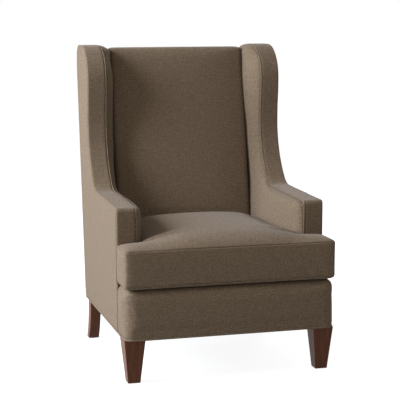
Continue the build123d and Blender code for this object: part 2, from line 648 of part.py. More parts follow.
welt_edges, welt_end = front_edges(WING_WELT / 2, UPHOLSTERY_BASE, ARM_CORNER_RADIUS)
welt_edges.append(Line(welt_end, (BACK - BACK_TOP_RADIUS, welt_end.Y)))
welt_path = Plane.YZ.offset(SEAM_X) * Wire(welt_edges)
welt_start = Plane(origin=welt_path @ 0, z_dir=welt_path % 0)
both_sides("wing_welt", sweep(welt_start * Circle(WING_WELT / 2), path=welt_path))

# Inside back: a crowned pad between the arm pads that rolls over the crest rail.
def inside_y(z):
    """Side edge of the inside back at a height."""
    return BACK - BACK_DEPTH + (z - DECK_HEIGHT) * tan(radians(INSIDE_RAKE))


def crown_y(z):
    """Foremost line of the inside back at a height, on its crown."""
    return inside_y(z) - BACK_CROWN / cos(radians(INSIDE_RAKE))


def inside_back_form(inset):
    """Outer form of the inside back, or the form of its padding."""
    step = inset / cos(radians(INSIDE_RAKE))
    top = BACK_HEIGHT - inset
    points = [
        (crown_y(UPHOLSTERY_BASE) + step, UPHOLSTERY_BASE),
        (crown_y(top) + step, top),
        (BACK - inset, top),
        (BACK - inset, ROLL_BASE),
        (BACK - PAD_REAR, ROLL_BASE),
        (BACK - PAD_REAR, rear_kink(PAD_REAR)),
        (rear_y(UPHOLSTERY_BASE, PAD_REAR), UPHOLSTERY_BASE),
    ]
    radii = [0, BACK_FRONT_ROUND - inset, BACK_TOP_RADIUS - inset, 0, 0, 0, 0]
    side = PAD_X - CLEARANCE - inset
    profile = make_face(FilletPolyline(points, radius=radii, close=True))
    lean = Plane(
        origin=(0, inside_y(DECK_HEIGHT), DECK_HEIGHT),
        x_dir=(1, 0, 0),
        z_dir=(0, sin(radians(INSIDE_RAKE)), cos(radians(INSIDE_RAKE))),
    )
    crown = ThreePointArc((-side, inset), (0, inset - BACK_CROWN), (side, inset))
    rest = Polyline((side, inset), (side, DEPTH), (-side, DEPTH), (-side, inset))
    section = make_face([crown, *rest.edges()])
    shoulders = [vertex for vertex in section.vertices() if vertex.Y < DEPTH / 2]
    section = fillet(shoulders, BACK_SIDE_ROUND)
    prism = extrude(lean.offset(-DECK_HEIGHT) * section, amount=2 * HEIGHT)
    return plate(profile, -side, side) & prism


parts["inside_back_pad"] = inside_back_form(COVER + CLEARANCE)
parts["inside_back_cover"] = inside_back_form(0) - inside_back_form(COVER)

# Base welt round the lower edge of the upholstery, and the dust cover under the frame.
welt_side = SIDE - BASE_WELT / 2
base_welt_z = BASE_HEIGHT + CLEARANCE + BASE_WELT / 2
base_welt_front = BORDER_FRONT + BASE_WELT / 2
base_welt_rear = rear_y(base_welt_z, 0) - BASE_WELT / 2
base_welt_points = [
    (welt_side, base_welt_front, base_welt_z),
    (welt_side, base_welt_rear, base_welt_z),
    (-welt_side, base_welt_rear, base_welt_z),
    (-welt_side, base_welt_front, base_welt_z),
]
base_radii = [BORDER_ROUND, 2 * BASE_WELT, 2 * BASE_WELT, BORDER_ROUND]
base_path = FilletPolyline(base_welt_points, radius=base_radii, close=True)
base_start = Plane(origin=base_path @ 0, z_dir=base_path % 0)
parts["base_welt"] = sweep(base_start * Circle(BASE_WELT / 2), path=base_path)

dust_top = BASE_HEIGHT - CLEARANCE
dust_sheet = block(
    -FRAME_OUT, FRAME_OUT, FRONT_RAIL_FACE, rear_y(BASE_HEIGHT, WOOD_REAR), dust_top - DUST_COVER, dust_top
)
front_notch = Pos(front_leg_x, front_leg_y, BASE_HEIGHT) * Box(
    FRONT_LEG_TOP + 2 * LEG_EDGE, FRONT_LEG_TOP + 2 * LEG_EDGE, 2 * BLOCK_HEIGHT
)
rear_notch = Pos(rear_leg_mid, rear_bolt_y, BASE_HEIGHT) * Box(
    REAR_LEG_WIDTH + 2 * LEG_EDGE, REAR_LEG_TOP + 2 * LEG_EDGE, 2 * BLOCK_HEIGHT
)
parts["dust_cover"] = dust_sheet - with_mirrors([front_notch, rear_notch])

# Loose seat cushion: a T in plan, with a crowned top panel, a boxing strip and a flat underside.
ear_rear = ARM_FRONT - CUSHION_GAP
cushion_side = PAD_X - CUSHION_GAP
cushion_base = DECK_HEIGHT + CLEARANCE


def cushion_rear(z):
    """Back of the cushion at a height, following the lean of the inside back."""
    return crown_y(z) - CUSHION_BACK_GAP


def cushion_face(z, inset):
    """T-shaped section of the cushion at a height, drawn in between its corners."""
    nose = FRONT + inset
    nose_x = SIDE - inset
    ear = ear_rear - inset
    body_x = cushion_side - inset
    rear = cushion_rear(z) - inset
    flank = (ear + rear) / 2
    edges = [
        ThreePointArc((-nose_x, nose), (0, nose + CUSHION_DRAW), (nose_x, nose)),
        Line((nose_x, nose), (nose_x, ear)),
        Line((nose_x, ear), (body_x, ear)),
        ThreePointArc((body_x, ear), (body_x - CUSHION_DRAW, flank), (body_x, rear)),
        Line((body_x, rear), (-body_x, rear)),
        ThreePointArc((-body_x, rear), (CUSHION_DRAW - body_x, flank), (-body_x, ear)),
        Line((-body_x, ear), (-nose_x, ear)),
        Line((-nose_x, ear), (-nose_x, nose)),
    ]
    face = make_face(edges)
    for y, wide, radius in (
        (nose, True, NOSE_RADIUS),
        (ear, True, EAR_RADIUS),
        (ear, False, NOTCH_RADIUS),
        (rear, False, REAR_RADIUS),
    ):
        corners = [
            v for v in face.vertices()
            if abs(v.Y - y) < CLEARANCE and (abs(v.X) > (nose_x + body_x) / 2) == wide
            and min(abs(abs(v.X) - nose_x), abs(abs(v.X) - body_x)) < CLEARANCE
        ]
        face = fillet(corners, radius)
    return Pos(0, 0, z) * face


def crown_form(inset):
    """Top of the cushion above its upper seam."""
    rise = CUSHION_TOP - CUSHION_HIGH_SEAM - inset
    faces = [
        cushion_face(CUSHION_HIGH_SEAM + rise * up, inset + CUSHION_CROWN_RUN * run)
        for up, run in CROWN_STEPS
    ]
    return loft(faces)


def boxing_form(inset):
    """Middle of the cushion between its seams."""
    return loft([cushion_face(CUSHION_LOW_SEAM, inset), cushion_face(CUSHION_HIGH_SEAM, inset)], ruled=True)


def underside_form(inset):
    """Bottom of the cushion below its lower seam, flat where it rests on the deck."""
    drop = CUSHION_LOW_SEAM - cushion_base - inset
    faces = [
        cushion_face(CUSHION_LOW_SEAM - drop * down, inset + CUSHION_FOOT_RUN * run)
        for down, run in FOOT_STEPS
    ]
    return loft(faces)


zip_height = (CUSHION_LOW_SEAM + CUSHION_HIGH_SEAM) / 2
zip_plane = Plane(
    origin=(0, cushion_rear(zip_height), zip_height),
    x_dir=(1, 0, 0),
    z_dir=(0, cos(radians(INSIDE_RAKE)), -sin(radians(INSIDE_RAKE))),
)
tape_depth = COVER + CLEARANCE
tape_recess = tape_depth + ZIP_TAPE + CLEARANCE


def zip_block(length, width, z0, z1):
    """Box along the zip, between two depths through the back of the boxing."""
    return extrude(zip_plane.offset(z0) * Rectangle(length, width), amount=z1 - z0)


core_inset = COVER + CLEARANCE
cushion_core = boxing_form(core_inset) + crown_form(core_inset) + underside_form(core_inset)
recess = zip_block(ZIP_LENGTH + 4 * CLEARANCE, ZIP_TAPE_WIDTH + 4 * CLEARANCE, -tape_recess, COVER)
parts["cushion_core"] = cushion_core - recess
parts["cushion_top_panel"] = crown_form(0) - crown_form(COVER)
parts["cushion_bottom_panel"] = underside_form(0) - underside_form(COVER)
zip_slot = zip_block(ZIP_LENGTH, ZIP_CHAIN + 4 * CLEARANCE, -2 * COVER, COVER)
parts["cushion_boxing"] = boxing_form(0) - boxing_form(COVER) - zip_slot

zip_tape = zip_block(ZIP_LENGTH, ZIP_TAPE_WIDTH, -tape_depth - ZIP_TAPE, -tape_depth)
zip_chain = zip_block(ZIP_LENGTH - 4 * CLEARANCE, ZIP_CHAIN, -tape_depth - ZIP_TAPE, 0)
parts["cushion_zip"] = zip_tape + zip_chain

slider_x = (ZIP_LENGTH - SLIDER_LENGTH) / 2 - ZIP_CHAIN
slider_plane = zip_plane.shift_origin(zip_plane.from_local_coords((slider_x, 0, 0))).offset(CLEARANCE)
slider_face = RectangleRounded(SLIDER_LENGTH, SLIDER_WIDTH, ZIP_CHAIN / 2)
slider_body = extrude(slider_plane * slider_face, amount=SLIDER_HEIGHT)
pull_shift = (SLIDER_WIDTH + PULL_LENGTH) / 2 - ZIP_CHAIN
pull_face = Pos(0, pull_shift) * RectangleRounded(PULL_WIDTH, PULL_LENGTH, PULL)
slider_pull = extrude(slider_plane.offset(SLIDER_HEIGHT - PULL) * pull_face, amount=PULL)
parts["zip_slider"] = slider_body + slider_pull

os.makedirs("parts", exist_ok=True)
for name, piece in parts.items():
    export_step(piece, f"parts/{name}.step")
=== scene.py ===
from math import copysign, cos, exp, pi, radians, sin, sqrt, tan, tanh

import bmesh
import bpy
from mathutils import Matrix, Vector
from mathutils.bvhtree import BVHTree
from mathutils.kdtree import KDTree


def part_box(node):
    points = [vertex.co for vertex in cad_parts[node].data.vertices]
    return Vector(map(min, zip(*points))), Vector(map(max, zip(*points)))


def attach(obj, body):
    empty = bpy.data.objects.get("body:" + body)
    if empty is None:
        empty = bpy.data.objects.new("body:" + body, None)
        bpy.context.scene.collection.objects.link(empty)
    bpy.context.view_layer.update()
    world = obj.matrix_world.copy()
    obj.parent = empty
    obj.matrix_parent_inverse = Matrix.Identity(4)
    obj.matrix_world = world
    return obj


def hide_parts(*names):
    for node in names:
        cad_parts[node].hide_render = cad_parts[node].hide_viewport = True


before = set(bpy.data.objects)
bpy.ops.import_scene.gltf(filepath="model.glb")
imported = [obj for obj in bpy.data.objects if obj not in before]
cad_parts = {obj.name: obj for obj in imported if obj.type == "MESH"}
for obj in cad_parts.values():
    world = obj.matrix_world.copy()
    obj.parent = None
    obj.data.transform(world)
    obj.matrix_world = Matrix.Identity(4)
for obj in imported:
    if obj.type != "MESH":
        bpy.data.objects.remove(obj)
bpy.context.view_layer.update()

# Frame boards: rails, posts, arm and wing boards of sawn hardwood, planed but not finished.
# They are doweled and glued, with screwed corner blocks, and vanish under the upholstery.
BOARDS_ALONG = {
    "x": ["front_rail", "back_rail", "lower_back_rail", "crest_rail", "frame_dowels"],
    "y": ["side_rail_left", "side_rail_right", "arm_rail_left", "arm_rail_right", "corner_blocks"],
    "z": [
        "back_post_left", "back_post_right", "arm_post_left", "arm_post_right",
        "wing_post_left", "wing_post_right", "wing_top_left", "wing_top_right",
    ],
}
GRAIN_ACROSS = 70.0
GRAIN_ALONG = 5.0
RING_NOISE = (1.0, 4, 0.55)  # scale, detail, roughness
PORE_NOISE = (9.0, 2, 0.6)
RING_SHARE = 0.75
PORE_SHARE = 0.45
FIGURE_RANGE = (0.4, 0.8)
GRAIN_BUMP = 0.25
BUMP_DEPTH = 0.0006
BOARD_PALE = (0.56, 0.40, 0.25, 1)
BOARD_DARK = (0.36, 0.23, 0.13, 1)
BOARD_ROUGHNESS = 0.75


def new_group(name, inputs, outputs):
    """Empty shader node group with named sockets, and its input and output nodes."""
    group = bpy.data.node_groups.new(name, "ShaderNodeTree")
    for label, kind in inputs:
        group.interface.new_socket(label, in_out="INPUT", socket_type="NodeSocket" + kind)
    for label, kind in outputs:
        group.interface.new_socket(label, in_out="OUTPUT", socket_type="NodeSocket" + kind)
    return group, group.nodes.new("NodeGroupInput"), group.nodes.new("NodeGroupOutput")


def math_node(tree, operation, first, second=None, third=None):
    """Output of a Math node fed by sockets or plain numbers."""
    node = tree.nodes.new("ShaderNodeMath")
    node.operation = operation
    for socket, value in zip(node.inputs, (first, second, third)):
        if isinstance(value, (int, float)):
            socket.default_value = value
        elif value is not None:
            tree.links.new(value, socket)
    return node.outputs[0]


def noise_node(tree, vector, scale, detail, roughness):
    """Value of a noise texture on a vector, about 0.5 in the mean."""
    node = tree.nodes.new("ShaderNodeTexNoise")
    node.inputs["Scale"].default_value = scale
    node.inputs["Detail"].default_value = detail
    node.inputs["Roughness"].default_value = roughness
    tree.links.new(vector, node.inputs["Vector"])
    return node.outputs["Fac"]


def stretch_node(tree, vector, factors):
    """A vector with each part multiplied by a factor."""
    node = tree.nodes.new("ShaderNodeVectorMath")
    node.operation = "MULTIPLY"
    tree.links.new(vector, node.inputs[0])
    if isinstance(factors, tuple):
        node.inputs[1].default_value = factors
    else:
        tree.links.new(factors, node.inputs[1])
    return node.outputs[0]


def range_node(tree, value, low, high):
    """A value from low to high spread over 0 to 1."""
    node = tree.nodes.new("ShaderNodeMapRange")
    node.inputs["From Min"].default_value = low
    node.inputs["From Max"].default_value = high
    tree.links.new(value, node.inputs["Value"])
    return node.outputs["Result"]


def mix_colours(tree, share, dark, pale):
    """Colour between two colour sockets."""
    node = tree.nodes.new("ShaderNodeMix")
    node.data_type = "RGBA"
    tree.links.new(share, node.inputs["Factor"])
    tree.links.new(dark, node.inputs["A"])
    tree.links.new(pale, node.inputs["B"])
    return node.outputs["Result"]


wood_grain, grain_in, grain_out = new_group(
    "wood_grain",
    [("Position", "Vector"), ("Stretch", "Vector"), ("Pale", "Color"), ("Dark", "Color")],
    [("Color", "Color"), ("Height", "Float")],
)
grain_vector = stretch_node(wood_grain, grain_in.outputs["Position"], grain_in.outputs["Stretch"])
rings = noise_node(wood_grain, grain_vector, *RING_NOISE)
pores = noise_node(wood_grain, grain_vector, *PORE_NOISE)
figure = math_node(
    wood_grain, "MULTIPLY_ADD", pores, PORE_SHARE, math_node(wood_grain, "MULTIPLY", rings, RING_SHARE)
)
figure_share = range_node(wood_grain, figure, *FIGURE_RANGE)
wood_grain.links.new(
    mix_colours(wood_grain, figure_share, grain_in.outputs["Dark"], grain_in.outputs["Pale"]),
    grain_out.inputs["Color"],
)
wood_grain.links.new(figure, grain_out.inputs["Height"])


def new_finish(name, roughness):
    """Material with its node tree, its Principled shader and an Object coordinate."""
    material = bpy.data.materials.new(name)
    material.use_nodes = True
    tree = material.node_tree
    shader = tree.nodes["Principled BSDF"]
    shader.inputs["Roughness"].default_value = roughness
    position = tree.nodes.new("ShaderNodeTexCoord").outputs["Object"]
    return material, tree, shader, position


def add_bump(tree, shader, height, strength):
    """Bump from a height socket into the shader's normal."""
    bump = tree.nodes.new("ShaderNodeBump")
    bump.inputs["Strength"].default_value = strength
    bump.inputs["Distance"].default_value = BUMP_DEPTH
    tree.links.new(height, bump.inputs["Height"])
    tree.links.new(bump.outputs["Normal"], shader.inputs["Normal"])


def use_group(tree, group, position, **values):
    """A node group placed in a material, with its own values."""
    node = tree.nodes.new("ShaderNodeGroup")
    node.node_tree = group
    tree.links.new(position, node.inputs["Position"])
    for label, value in values.items():
        node.inputs[label].default_value = value
    return node


def wood_finish(name, grain_axis, pale, dark, roughness):
    """Wood with its grain along one axis."""
    material, tree, shader, position = new_finish(name, roughness)
    stretch = [GRAIN_ALONG if axis == grain_axis else GRAIN_ACROSS for axis in "xyz"]
    grain = use_group(tree, wood_grain, position, Stretch=stretch, Pale=pale, Dark=dark)
    tree.links.new(grain.outputs["Color"], shader.inputs["Base Color"])
    add_bump(tree, shader, grain.outputs["Height"], GRAIN_BUMP)
    return material


def dress(node, material):
    """Gives a CAD node a material."""
    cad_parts[node].data.materials.clear()
    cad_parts[node].data.materials.append(material)


for board_axis, boards in BOARDS_ALONG.items():
    board_wood = wood_finish(
        "frame_wood_" + board_axis, board_axis, BOARD_PALE, BOARD_DARK, BOARD_ROUGHNESS
    )
    for board in boards:
        dress(board, board_wood)

# Seat springs and fixings: drawn steel wire bent to a zigzag, pressed clips nailed to the rails,
# cross ties, block screws, and hanger bolts with their nuts and washers.
STEEL_PIECES = [
    "seat_springs", "spring_clips", "spring_ties", "corner_block_screws", "leg_bolts", "leg_nuts",
]
STEEL_PALE = (0.50, 0.49, 0.47, 1)
STEEL_DARK = (0.28, 0.27, 0.26, 1)
STEEL_STREAKS = (260, 40, 260)
STEEL_ROUGHNESS = 0.38


def streaked_finish(name, stretch, pale, dark, roughness, metallic):
    """Drawn, moulded or cast material with fine streaks or flecks."""
    material, tree, shader, position = new_finish(name, roughness)
    shader.inputs["Metallic"].default_value = metallic
    streaks = use_group(tree, wood_grain, position, Stretch=stretch, Pale=pale, Dark=dark)
    tree.links.new(streaks.outputs["Color"], shader.inputs["Base Color"])
    return material


steel = streaked_finish("steel", STEEL_STREAKS, STEEL_PALE, STEEL_DARK, STEEL_ROUGHNESS, 1.0)
for fixing in STEEL_PIECES:
    dress(fixing, steel)

# Legs: solid hardwood, square and tapered in front and sawn to a sweep behind, stained dark
# brown under satin lacquer. Each hangs on a bolt and stands on a nailed nylon glide.
LEGS = ["front_leg_left", "front_leg_right", "rear_leg_left", "rear_leg_right"]
LEG_PALE = (0.160, 0.055, 0.023, 1)
LEG_DARK = (0.069, 0.022, 0.010, 1)
LEG_ROUGHNESS = 0.42
LEG_SPECULAR = 0.12
LACQUER = 0.04
LACQUER_ROUGHNESS = 0.35
NYLON_PALE = (0.05, 0.045, 0.04, 1)
NYLON_DARK = (0.02, 0.018, 0.016, 1)
NYLON_FLECK = (300, 300, 300)
NYLON_ROUGHNESS = 0.5

leg_wood = wood_finish("leg_wood", "z", LEG_PALE, LEG_DARK, LEG_ROUGHNESS)
leg_shader = leg_wood.node_tree.nodes["Principled BSDF"]
leg_shader.inputs["Coat Weight"].default_value = LACQUER
leg_shader.inputs["Coat Roughness"].default_value = LACQUER_ROUGHNESS
leg_shader.inputs["Specular IOR Level"].default_value = LEG_SPECULAR
for leg in LEGS:
    dress(leg, leg_wood)
dress("glides", streaked_finish("glide_nylon", NYLON_FLECK, NYLON_PALE, NYLON_DARK, NYLON_ROUGHNESS, 0.0))

# Back webbing and the felt over the springs: jute straps tacked across the back posts and a
# needled fibre pad, both out of sight. The weave made here serves every cloth on the chair.
FIBRE_PALE = (0.42, 0.37, 0.29, 1)
FIBRE_DARK = (0.22, 0.18, 0.13, 1)
FIBRE_PITCH = 0.003
FIBRE_CONTRAST = 2.0
FIBRE_BUMP = 0.6
WARP_SLUB = (170, 26, 1)
WEFT_SLUB = (34, 190, 1)
FLECK = (190, 170, 1)
SLUB_NOISE = (1.0, 3, 0.6)
FLECK_NOISE = (1.0, 5, 0.85)
SLUB_SHARE = 0.25
FLECK_SHARE = 0.75
MIDDLE_TONE = 0.5
CROSSING_HEIGHT = 0.4
TONE_HEIGHT = 0.8
CLOTH_ROUGHNESS = 0.92
CLOTH_SPECULAR = 0.12

weave, weave_in, weave_out = new_group(
    "heather_weave",
    [
        ("Position", "Vector"), ("Normal", "Vector"), ("Pitch", "Float"), ("Contrast", "Float"),
        ("Pale", "Color"), ("Dark", "Color"),
    ],
    [("Color", "Color"), ("Height", "Float")],
)
facing_way = weave.nodes.new("ShaderNodeVectorMath")
facing_way.operation = "ABSOLUTE"
weave.links.new(weave_in.outputs["Normal"], facing_way.inputs[0])
way = weave.nodes.new("ShaderNodeSeparateXYZ")
weave.links.new(facing_way.outputs[0], way.inputs[0])
place = weave.nodes.new("ShaderNodeSeparateXYZ")
weave.links.new(weave_in.outputs["Position"], place.inputs[0])
most_of_yz = math_node(weave, "MAXIMUM", way.outputs["Y"], way.outputs["Z"])
most_of_xy = math_node(weave, "MAXIMUM", way.outputs["X"], way.outputs["Y"])
sideways = math_node(weave, "GREATER_THAN", way.outputs["X"], most_of_yz)
upwards = math_node(weave, "GREATER_THAN", way.outputs["Z"], most_of_xy)
weft = math_node(
    weave, "MULTIPLY_ADD", sideways,
    math_node(weave, "SUBTRACT", place.outputs["Y"], place.outputs["X"]), place.outputs["X"],
)
warp = math_node(
    weave, "MULTIPLY_ADD", upwards,
    math_node(weave, "SUBTRACT", place.outputs["Y"], place.outputs["Z"]), place.outputs["Z"],
)
cloth_plane = weave.nodes.new("ShaderNodeCombineXYZ")
weave.links.new(weft, cloth_plane.inputs["X"])
weave.links.new(warp, cloth_plane.inputs["Y"])
thread = math_node(weave, "DIVIDE", pi, weave_in.outputs["Pitch"])
across = math_node(weave, "SINE", math_node(weave, "MULTIPLY", weft, thread))
along = math_node(weave, "SINE", math_node(weave, "MULTIPLY", warp, thread))
crossing = math_node(weave, "MULTIPLY", across, along)
warp_slub = noise_node(weave, stretch_node(weave, cloth_plane.outputs[0], WARP_SLUB), *SLUB_NOISE)
weft_slub = noise_node(weave, stretch_node(weave, cloth_plane.outputs[0], WEFT_SLUB), *SLUB_NOISE)
fleck = noise_node(weave, stretch_node(weave, cloth_plane.outputs[0], FLECK), *FLECK_NOISE)
warp_on_top = math_node(weave, "GREATER_THAN", crossing, 0.0)
top_slub = math_node(
    weave, "MULTIPLY_ADD", warp_on_top, math_node(weave, "SUBTRACT", warp_slub, weft_slub), weft_slub
)
tone = math_node(
    weave, "MULTIPLY_ADD", fleck, FLECK_SHARE, math_node(weave, "MULTIPLY", top_slub, SLUB_SHARE)
)
from_middle = math_node(weave, "SUBTRACT", tone, MIDDLE_TONE)
spread_tone = math_node(
    weave, "MULTIPLY_ADD", from_middle, weave_in.outputs["Contrast"], MIDDLE_TONE
)
weave.links.new(
    mix_colours(weave, spread_tone, weave_in.outputs["Dark"], weave_in.outputs["Pale"]),
    weave_out.inputs["Color"],
)
tone_height = math_node(weave, "MULTIPLY", tone, TONE_HEIGHT)
weave.links.new(
    math_node(weave, "MULTIPLY_ADD", crossing, CROSSING_HEIGHT, tone_height),
    weave_out.inputs["Height"],
)


def cloth_finish(name, pale, dark, pitch, contrast, bump):
    """Woven cloth whose threads follow the way each surface faces."""
    material, tree, shader, position = new_finish(name, CLOTH_ROUGHNESS)
    cloth = use_group(tree, weave, position, Pitch=pitch, Contrast=contrast, Pale=pale, Dark=dark)
    tree.links.new(tree.nodes.new("ShaderNodeNewGeometry").outputs["Normal"], cloth.inputs["Normal"])
    tree.links.new(cloth.outputs["Color"], shader.inputs["Base Color"])
    shader.inputs["Specular IOR Level"].default_value = CLOTH_SPECULAR
    add_bump(tree, shader, cloth.outputs["Height"], bump)
    return material


fibre = cloth_finish("jute_and_felt", FIBRE_PALE, FIBRE_DARK, FIBRE_PITCH, FIBRE_CONTRAST, FIBRE_BUMP)
dress("back_webbing", fibre)
dress("deck_insulator", fibre)

# Seat deck: foam over the springs under a plain black decking cloth, sewn to the front border.
# It shows only while the loose cushion is off.
DECKING_PALE = (0.055, 0.05, 0.045, 1)
DECKING_DARK = (0.022, 0.02, 0.018, 1)
DECKING_PITCH = 0.0012
DECKING_CONTRAST = 1.5
DECKING_BUMP = 0.4
DECK_VOXEL = 0.007
DECK_PASSES = 2
SOFTENING = 0.5
TINY = 1e-6


def piece_from(form, name):
    """New object that takes over a finished form."""
    mesh = bpy.data.meshes.new(name)
    form.to_mesh(mesh)
    form.free()
    piece = bpy.data.objects.new(name, mesh)
    bpy.context.scene.collection.objects.link(piece)
    return piece


def soft_form(name, *nodes):
    """One closed mesh from copies of CAD nodes, for a soft piece to start from."""
    form = bmesh.new()
    for node in nodes:
        form.from_mesh(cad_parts[node].data)
    bmesh.ops.remove_doubles(form, verts=form.verts, dist=TINY)
    return piece_from(form, name)


def take_modifiers(piece):
    """Makes what a piece's modifiers show its own mesh."""
    shown = piece.evaluated_get(bpy.context.evaluated_depsgraph_get())
    mesh = bpy.data.meshes.new_from_object(shown)
    mesh.name = piece.name
    piece.modifiers.clear()
    piece.data = mesh


def soften(form, points):
    """One pass that evens out points of a form."""
    bmesh.ops.smooth_vert(
        form, verts=points, factor=SOFTENING, use_axis_x=True, use_axis_y=True, use_axis_z=True
    )


def even_out(piece, passes):
    """Softens a remeshed piece and shades it smooth."""
    form = bmesh.new()
    form.from_mesh(piece.data)
    for _ in range(passes):
        soften(form, form.verts)
    for face in form.faces:
        face.smooth = True
    form.to_mesh(piece.data)
    form.free()


def wad(piece, voxel, passes):
    """Even mesh over a form, with its edges rounded off as wadding does under cloth."""
    remesh = piece.modifiers.new("wadding", "REMESH")
    remesh.mode = "VOXEL"
    remesh.voxel_size = voxel
    take_modifiers(piece)
    even_out(piece, passes)


def cover(piece, material, slot, *nodes):
    """Gives a soft piece its cloth and lets it stand for its CAD nodes."""
    piece.data.materials.clear()
    piece.data.materials.append(material)
    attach(piece, "chair")
    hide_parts(*nodes)


decking = cloth_finish(
    "black_decking", DECKING_PALE, DECKING_DARK, DECKING_PITCH, DECKING_CONTRAST, DECKING_BUMP
)
seat_deck = soft_form("seat_deck", "deck_cloth", "deck_pad")
wad(seat_deck, DECK_VOXEL, DECK_PASSES)
cover(seat_deck, decking, "black_cloth", "deck_cloth", "deck_pad")

# Front border: wadding and cover cloth pulled over the front of the seat frame, sewn to the
# decking behind and tacked under the rail. It swells a little between its edges.
CLOTH_PALE = (0.290, 0.208, 0.136, 1)
CLOTH_DARK = (0.090, 0.058, 0.034, 1)
YARN_PITCH = 0.0011
YARN_CONTRAST = 3.6
YARN_BUMP = 0.55
SHEEN = 0.12
SHEEN_ROUGHNESS = 0.45
SHEEN_TINT = (1.0, 0.96, 0.92, 1)
BORDER_VOXEL = 0.008
BORDER_PASSES = 3
BORDER_PRESSURE = 2.0
BORDER_SWELL = 0.003
BORDER_SKIN = 0.016
BORDER_TUCK = 0.004
BORDER_TURN_IN = 0.006
EASE = 0.045
FILL_STEPS = 20
FILL_QUALITY = 4
LOOSE_BELOW = 0.5
ON_EDGE = 1e-4

cover_cloth = cloth_finish("cover_cloth", CLOTH_PALE, CLOTH_DARK, YARN_PITCH, YARN_CONTRAST, YARN_BUMP)
cover_shader = cover_cloth.node_tree.nodes["Principled BSDF"]
cover_shader.inputs["Sheen Weight"].default_value = SHEEN
cover_shader.inputs["Sheen Roughness"].default_value = SHEEN_ROUGHNESS
cover_shader.inputs["Sheen Tint"].default_value = SHEEN_TINT


def share(value):
    """A value kept between 0 and 1."""
    return min(max(value, 0.0), 1.0)


def swell(piece, pressure, hold, room):
    """Fills a piece as its padding does: seams hold, and other points move within their room."""
    seam = piece.vertex_groups.new(name="held")
    start = [vertex.co.copy() for vertex in piece.data.vertices]
    held = [share(hold(point)) for point in start]
    for index, weight in enumerate(held):
        seam.add([index], weight, "REPLACE")
    filling = piece.modifiers.new("filling", "CLOTH")
    filling.settings.vertex_group_mass = "held"
    filling.settings.use_pressure = True
    filling.settings.uniform_pressure_force = pressure
    filling.settings.effector_weights.gravity = 0
    filling.settings.quality = FILL_QUALITY
    for step in range(1, FILL_STEPS + 1):
        bpy.context.scene.frame_set(step)
    take_modifiers(piece)
    bpy.context.scene.frame_set(1)
    form = bmesh.new()
    form.from_mesh(piece.data)
    for vertex, before in zip(form.verts, start):
        move = vertex.co - before
        most = room(before)
        if move.length > TINY:
            vertex.co = before + move * (most * tanh(move.length / most) / move.length)
    soften(form, [vertex for vertex, weight in zip(form.verts, held) if weight < LOOSE_BELOW])
    form.to_mesh(piece.data)
    form.free()
    piece.vertex_groups.clear()


def refine(piece):
    """One subdivision of a filled piece."""
    finer = piece.modifiers.new("finer", "SUBSURF")
    finer.levels = 1
    finer.render_levels = 1


def tuck_under(piece, amount):
    """Lowers the bottom edge of a form, so that its cloth goes down behind the base welt."""
    lowest = min(vertex.co.z for vertex in piece.data.vertices)
    for vertex in piece.data.vertices:
        if vertex.co.z < lowest + ON_EDGE:
            vertex.co.z -= amount


border_low, border_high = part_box("front_border_cover")
front_border = soft_form("front_border", "front_border_cover", "front_border_pad")
tuck_under(front_border, BORDER_TUCK)
for vertex in front_border.data.vertices:
    if vertex.co.y > border_high.y - ON_EDGE:
        vertex.co.y += BORDER_TURN_IN
wad(front_border, BORDER_VOXEL, BORDER_PASSES)


def border_hold(point):
    """The border is held along its tacked lower edge, its sewn rear edge and inside."""
    depth = min(point.y - border_low.y, border_high.z - point.z, border_high.x - abs(point.x))
    low_edge = 1 - (point.z - border_low.z) / EASE
    rear_edge = 1 - (border_high.y - point.y) / EASE
    return max(low_edge, rear_edge, 1.0 if depth > BORDER_SKIN else 0.0)


swell(front_border, BORDER_PRESSURE, border_hold, lambda point: BORDER_SWELL)
refine(front_border)
cover(front_border, cover_cloth, "cover_cloth", "front_border_cover", "front_border_pad")

# Inside back: foam on webbing under one plain panel of cloth, pulled through beside the arms
# and rolled over the crest rail to the back of the chair.
BACK_VOXEL = 0.009
BACK_PASSES = 2
BACK_PRESSURE = 3.0
BACK_SWELL = 0.008
BACK_LEAST = 0.2
BACK_RAMP = 2 * BACK_SWELL
BACK_TUCK = 0.003
CREST_EASE = 2 * EASE

back_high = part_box("inside_back_cover")[1]
inside_back = soft_form("inside_back", "inside_back_cover", "inside_back_pad")
for vertex in inside_back.data.vertices:
    vertex.co.x *= 1 + BACK_TUCK / back_high.x
wad(inside_back, BACK_VOXEL, BACK_PASSES)
cushion_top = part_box("cushion_core")[1].z


def back_room(point):
    """Room for the back to swell: little beside the cushion, more above it."""
    above = (point.z - cushion_top) / BACK_RAMP
    return BACK_SWELL * min(max(above, BACK_LEAST), 1.0)


def back_hold(point):
    """The back is pulled tight down its sides and held where it turns over the crest rail."""
    side_edge = 1 - (back_high.x - abs(point.x)) / EASE
    rear_edge = 1 - (back_high.y - point.y) / CREST_EASE
    return max(side_edge, rear_edge)


swell(inside_back, BACK_PRESSURE, back_hold, back_room)
refine(inside_back)
cover(inside_back, cover_cloth, "cover_cloth", "inside_back_cover", "inside_back_pad")

# Inside arms and wings: one shaped pad on each side, from the arm front up to the wing top. The
# cloth rolls over the pad's edge to the seam with the facing band.
ARM_VOXEL = 0.006
ARM_PASSES = 2
ARM_PRESSURE = 3.0
ARM_SWELL = 0.002
ARM_LEAST = 0.15
ARM_RAMP = 8 * ARM_SWELL
ARM_ROLL = 0.030
ARM_FRONT_RUN = 0.006
SWEEP_FOOT = 0.030
SWEEP_RISE = 0.150
WING_TOP_DROP = 0.030
WING_TOP_LIFT = 0.006
PAD_LIP = 0.020
ARM_LIP_RUN = 0.035
ARM_BELLY_RUN = 0.250
WING_RUN = 0.100
TOP_EDGE = 0.006
TOP_RUN = 0.024


